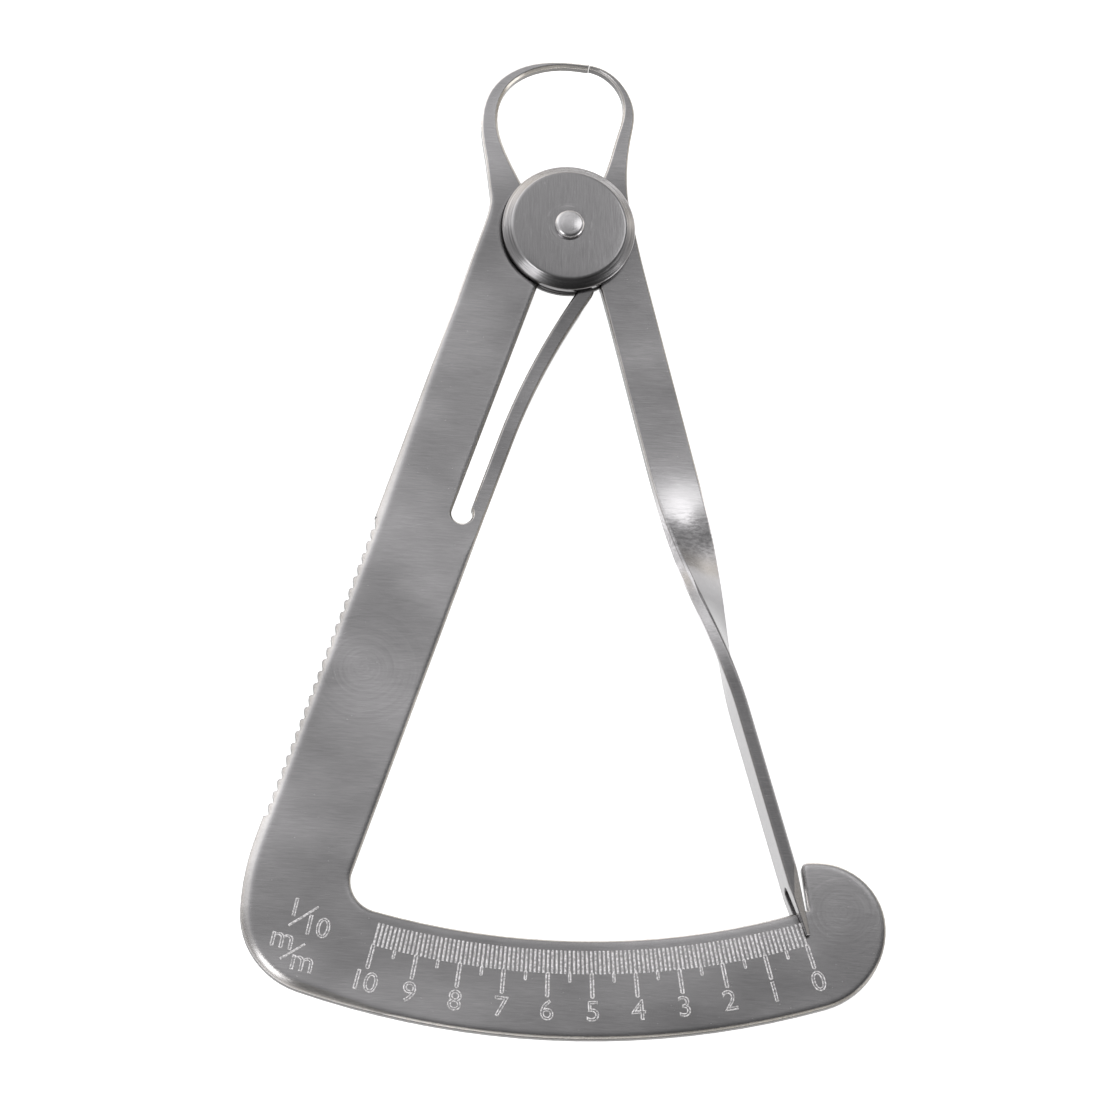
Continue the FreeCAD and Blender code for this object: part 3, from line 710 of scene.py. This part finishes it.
def loop_between(start, end, width):
    """Closed stadium outline round a line from start to end."""
    start, end = Vector(start), Vector(end)
    run = (end - start).normalized()
    side = Vector((-run.y, run.x)) * width / 2
    path = []
    for centre, sense in ((start, -1), (end, 1)):
        for step in range(7):
            turn = math.pi * step / 6
            across = side * math.cos(turn) * sense * -1
            beyond = run * width / 2 * math.sin(turn) * sense
            path.append(tuple(centre + across + beyond))
    return path


def ticks(material):
    """The comb of tenths, with longer half marks and long hollow marks at the numbers."""
    points, faces = [], []
    for tenth in range(101):
        degrees = (SCALE_MIDDLE - tenth / 10) * SCALE_STEP
        tick_end = on_arc(TICK_END, degrees)
        tube(points, faces, [on_arc(TICK_START, degrees), tick_end], TICK_BEAD, False)
        if tenth % 5 == 0:
            end, width, bead = HALF_MARK if tenth % 10 else LONG_MARK
            tube(points, faces, loop_between(tick_end, on_arc(end, degrees), width), bead, True)
    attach(mesh_piece("scale_ticks", points, faces, material), "scale")


def outlined_text(name, text, height):
    """Mesh of hollow characters: a fine bead along each outline."""
    data = bpy.data.curves.new(name, "FONT")
    data.body = text
    data.align_x = "CENTER"
    data.align_y = "CENTER"
    data.size = height * MM / DIGIT_SHARE
    data.space_character = 0.95
    data.fill_mode = "NONE"
    data.bevel_depth = LETTER_BEAD * MM
    data.bevel_resolution = 1
    data.resolution_u = 4
    data.offset = -0.02 * MM
    text_object = link(bpy.data.objects.new(name, data))
    bpy.context.view_layer.update()
    mesh = bpy.data.meshes.new_from_object(text_object)
    bpy.data.objects.remove(text_object)
    mesh.name = name
    return mesh


def lettering(name, text, middle, height, turn_degrees, material):
    """Engraved characters, turned and laid on the plate's front."""
    mesh = outlined_text(name, text, height)
    flat = Matrix.Diagonal((1, 1, 0.5, 1))
    spin = Matrix.Rotation(math.radians(turn_degrees), 4, "Z")
    place = Matrix.Translation((middle[0] * MM, middle[1] * MM, SHEET_FRONT * MM))
    mesh.transform(place @ spin @ flat)
    mesh.materials.clear()
    mesh.materials.append(material)
    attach(link(bpy.data.objects.new(name, mesh)), "scale")


def numbers(material):
    for value in range(11):
        degrees = (SCALE_MIDDLE - value) * SCALE_STEP
        middle = on_arc(DIGIT_MIDDLE, degrees)
        lettering("number_%d" % value, str(value), middle, DIGIT_HEIGHT, degrees, material)


def units(material):
    """Generic ratio and unit letters at the lower left corner."""
    for name, text, middle, height in UNIT_LETTERS:
        lettering(name, text, middle, height, UNIT_TURN, material)
    points, faces = [], []
    for start, end in UNIT_STROKES:
        tube(points, faces, [start, end], STROKE_BEAD, False)
    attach(mesh_piece("unit_strokes", points, faces, material), "scale")


# ---- leaf spring -----------------------------------------------------------------------
STRIP_TILT = 20.96              # lean of the lower, straight part, degrees from +Y to +X
STRIP_TIP_TILT = STRIP_TILT + 6
STRIP_WIDTH = 1.52
STRIP_BEND_Y = -22.8
STRIP_BEND_RADIUS = 66.0
STRIP_EDGE = 0.16
STRIP_ROOT = 0.7                # how far the tongue reaches over its stub on the plate
STRIP_LAP_Y = -8.3              # above this level the tongue is the front half of the sheet
STRIP_LAP = 0.02
STRIP_SHIFT = 0.074             # the tongue's middle lies this far right of its flexing point
STRIP_STEPS = 64
STRIP_PROUD = 0.004             # how far the root stands out of its stub, so no faces coincide
TIP_LEAST = 0.02                # square of the narrowest width at the round tip, as a share


def strip_middle(y, hinge):
    """Centre line of the strip: straight low down, then an arc towards the pivot."""
    tilt = math.radians(STRIP_TILT)
    rise = max(0.0, y - STRIP_BEND_Y)
    bow = rise ** 2 / (2 * STRIP_BEND_RADIUS * math.cos(tilt) ** 3)
    return Vector((hinge[0] + STRIP_SHIFT + math.tan(tilt) * (y - hinge[1]) + bow, y))


def strip_section():
    """Cross-section of the strip: its width and the sheet's thickness with cut corners."""
    half = STRIP_WIDTH / 2
    half_z = (SHEET_FRONT - SHEET_BACK) / 2
    cut = STRIP_EDGE
    right = [(half - cut, half_z), (half, half_z - cut), (half, cut - half_z), (half - cut, -half_z)]
    return right + [(-u, -v) for u, v in right]


def strip_points(hinge, section):
    """The section repeated from the root to the tip, where it narrows to a round end."""
    tip_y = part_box("leaf_spring")[1][1] / MM
    root_y = hinge[1] - STRIP_ROOT
    middle_z = (SHEET_FRONT + SHEET_BACK) / 2
    points = []
    for step in range(STRIP_STEPS + 1):
        y = root_y + (tip_y - root_y) * step / STRIP_STEPS
        to_tip = (tip_y - y) / math.cos(math.radians(STRIP_TIP_TILT))
        short = max(0.0, 1 - to_tip / (STRIP_WIDTH / 2))
        narrow = math.sqrt(max(TIP_LEAST, 1 - short ** 2))
        here = strip_middle(y, hinge)
        run = (strip_middle(y + 0.01, hinge) - strip_middle(y - 0.01, hinge)).normalized()
        side = Vector((run.y, -run.x))
        proud = STRIP_PROUD * (1 - min(1.0, step / 4))
        for u, v in section:
            place = here + side * u * narrow
            depth = v + math.copysign(proud, v)
            if y > STRIP_LAP_Y:
                depth = max(depth, STRIP_LAP)
            points.append((place.x, place.y, middle_z + depth))
    return points


def strip_faces(size):
    """Walls between neighbouring sections of a size, and a cap at the tip."""
    faces = []
    for step in range(STRIP_STEPS):
        here = step * size
        there = here + size
        for number in range(size):
            after = (number + 1) % size
            faces.append((here + number, there + number, there + after, here + after))
    faces.append(tuple(STRIP_STEPS * size + number for number in reversed(range(size))))
    return faces


def leaf_strip(material):
    """The whole flexing tongue, from its root in the plate to its rounded tip."""
    flex = next(j for j in frame["joints"] if j["name"] == "spring_flex")
    hinge = [c / MM for c in flex["pos_m"]]
    section = strip_section()
    points = strip_points(hinge, section)
    strip = mesh_piece("leaf_spring_strip", points, strip_faces(len(section)), material, smooth=False)
    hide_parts("leaf_spring")
    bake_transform(strip)


# ---- surroundings ----------------------------------------------------------------------
FLOOR_REACH = 900
# brightness of the tent from left to right and from front to back: position, level
SIDE_STOPS = [
    (0.0, 0.6), (1.0, 1.0), (0.1, 0.8), (0.2, 0.95), (0.35, 0.68), (0.475, 0.46),
    (0.575, 0.42), (0.65, 0.32), (0.81, 0.25), (0.9, 0.32), (0.94, 0.85),
]
DEPTH_STOPS = [
    (0.0, 0.08), (1.0, 1.0), (0.15, 0.1), (0.35, 0.22), (0.5, 0.45), (0.64, 0.6),
    (0.6725, 0.69), (0.71, 1.0),
]
WARM_CHANNELS = ((1, 0.94), (2, 0.84))      # green and blue near the horizon, as shares of red
TENT_STRENGTH = 1.6

# name, place, aim, size, power, and whether it shows in reflections; metres and watts
LAMPS = [
    ("low_left_light", (-0.385, -0.27, 0.52), (0, 0, 0), (0.26, 0.26), 0.52, True),
    ("low_right_light", (0.6, -0.3, 0.12), (0, 0, 0), (0.3, 0.3), 0.7, True),
    ("fill_light", (-0.1, -0.25, 0.65), (0, -0.03, 0), (0.4, 0.4), 0.9, False),
    ("twist_light", (0.208, 0.18, 0.408), (0.010, -0.030, 0.001), (0.16, 0.22), 0.13, True),
]


def floor_paper():
    made, tree = new_material("floor")
    shader = add(
        tree,
        "ShaderNodeBsdfPrincipled",
        {"Base Color": (0.9, 0.9, 0.9, 1), "Roughness": 0.8,
         "Emission Color": (1, 1, 1, 1), "Emission Strength": 0.75},
    )
    add(tree, "ShaderNodeOutputMaterial", {"Surface": shader.outputs[0]})
    return made


def floor():
    low = cad_box[0][2] / MM
    corners = ((-1, -1), (1, -1), (1, 1), (-1, 1))
    points = [(x * FLOOR_REACH, y * FLOOR_REACH, low) for x, y in corners]
    mesh_piece("floor", points, [(0, 1, 2, 3)], floor_paper())


def tent_level(tree, way, high):
    """Brightness of the tent in a direction, with a dim low glow in front of the scale."""
    side = ramp(tree, spread(tree, way[0], -1, 1, 0, 1), SIDE_STOPS)
    depth = ramp(tree, spread(tree, way[1], -1, 1, 0, 1), DEPTH_STOPS)
    off_middle = maths(tree, "ABSOLUTE", maths(tree, "SUBTRACT", way[0], 0.1))
    depth = maths(tree, "MAXIMUM", depth, spread(tree, off_middle, 0.3, 0.62, 0.0, 0.5))
    low = product(tree, spread(tree, high, 0.3, 0.5, 0.45, 0.0),
                  spread(tree, way[1], -0.15, -0.5, 0.0, 1.0))
    return maths(tree, "MAXIMUM", product(tree, side, depth), low)


def studio():
    """Soft tent: bright on the left and at the top, darker on the right and behind the camera."""
    world = bpy.data.worlds.new("studio")
    bpy.context.scene.world = world
    world.use_nodes = True
    tree = world.node_tree
    tree.nodes.clear()
    way = axes(tree, add(tree, "ShaderNodeTexCoord").outputs["Generated"])
    high = maths(tree, "ABSOLUTE", way[2])
    level = tent_level(tree, way, high)
    warm = add(tree, "ShaderNodeCombineColor", {0: level})
    for channel, share in WARM_CHANNELS:
        tint = spread(tree, high, 0.08, 0.35, share, 1.0)
        tree.links.new(product(tree, level, tint), warm.inputs[channel])
    light = add(tree, "ShaderNodeBackground", {"Color": warm.outputs[0], "Strength": TENT_STRENGTH})
    add(tree, "ShaderNodeOutputWorld", {"Surface": light.outputs[0]})


def lamps():
    for name, place, aim, size, power, glossy in LAMPS:
        data = bpy.data.lights.new(name, "AREA")
        data.shape = "RECTANGLE"
        data.size = size[0]
        data.size_y = size[1]
        data.energy = power
        lamp = link(bpy.data.objects.new(name, data))
        lamp.visible_glossy = glossy
        lamp.location = place
        lamp.rotation_euler = (Vector(aim) - Vector(place)).to_track_quat("-Z", "Y").to_euler()


def surfaces():
    """Steel for the two nodes that keep their CAD shape."""
    for node, material in (("scale_plate", plate_steel()), ("pointer_leg", leg_steel())):
        mesh = frame["nodes"][node].data
        mesh.materials.clear()
        mesh.materials.append(material)


def scale_marks():
    """Everything engraved on the plate."""
    cut_lines = engraved_metal()
    ticks(cut_lines)
    numbers(cut_lines)
    units(cut_lines)


camera()
studio()
lamps()
floor()
bpy.context.scene.view_settings.view_transform = "Standard"
surfaces()
turned_disc()
turned_rivet()
leaf_strip(spring_steel())
scale_marks()
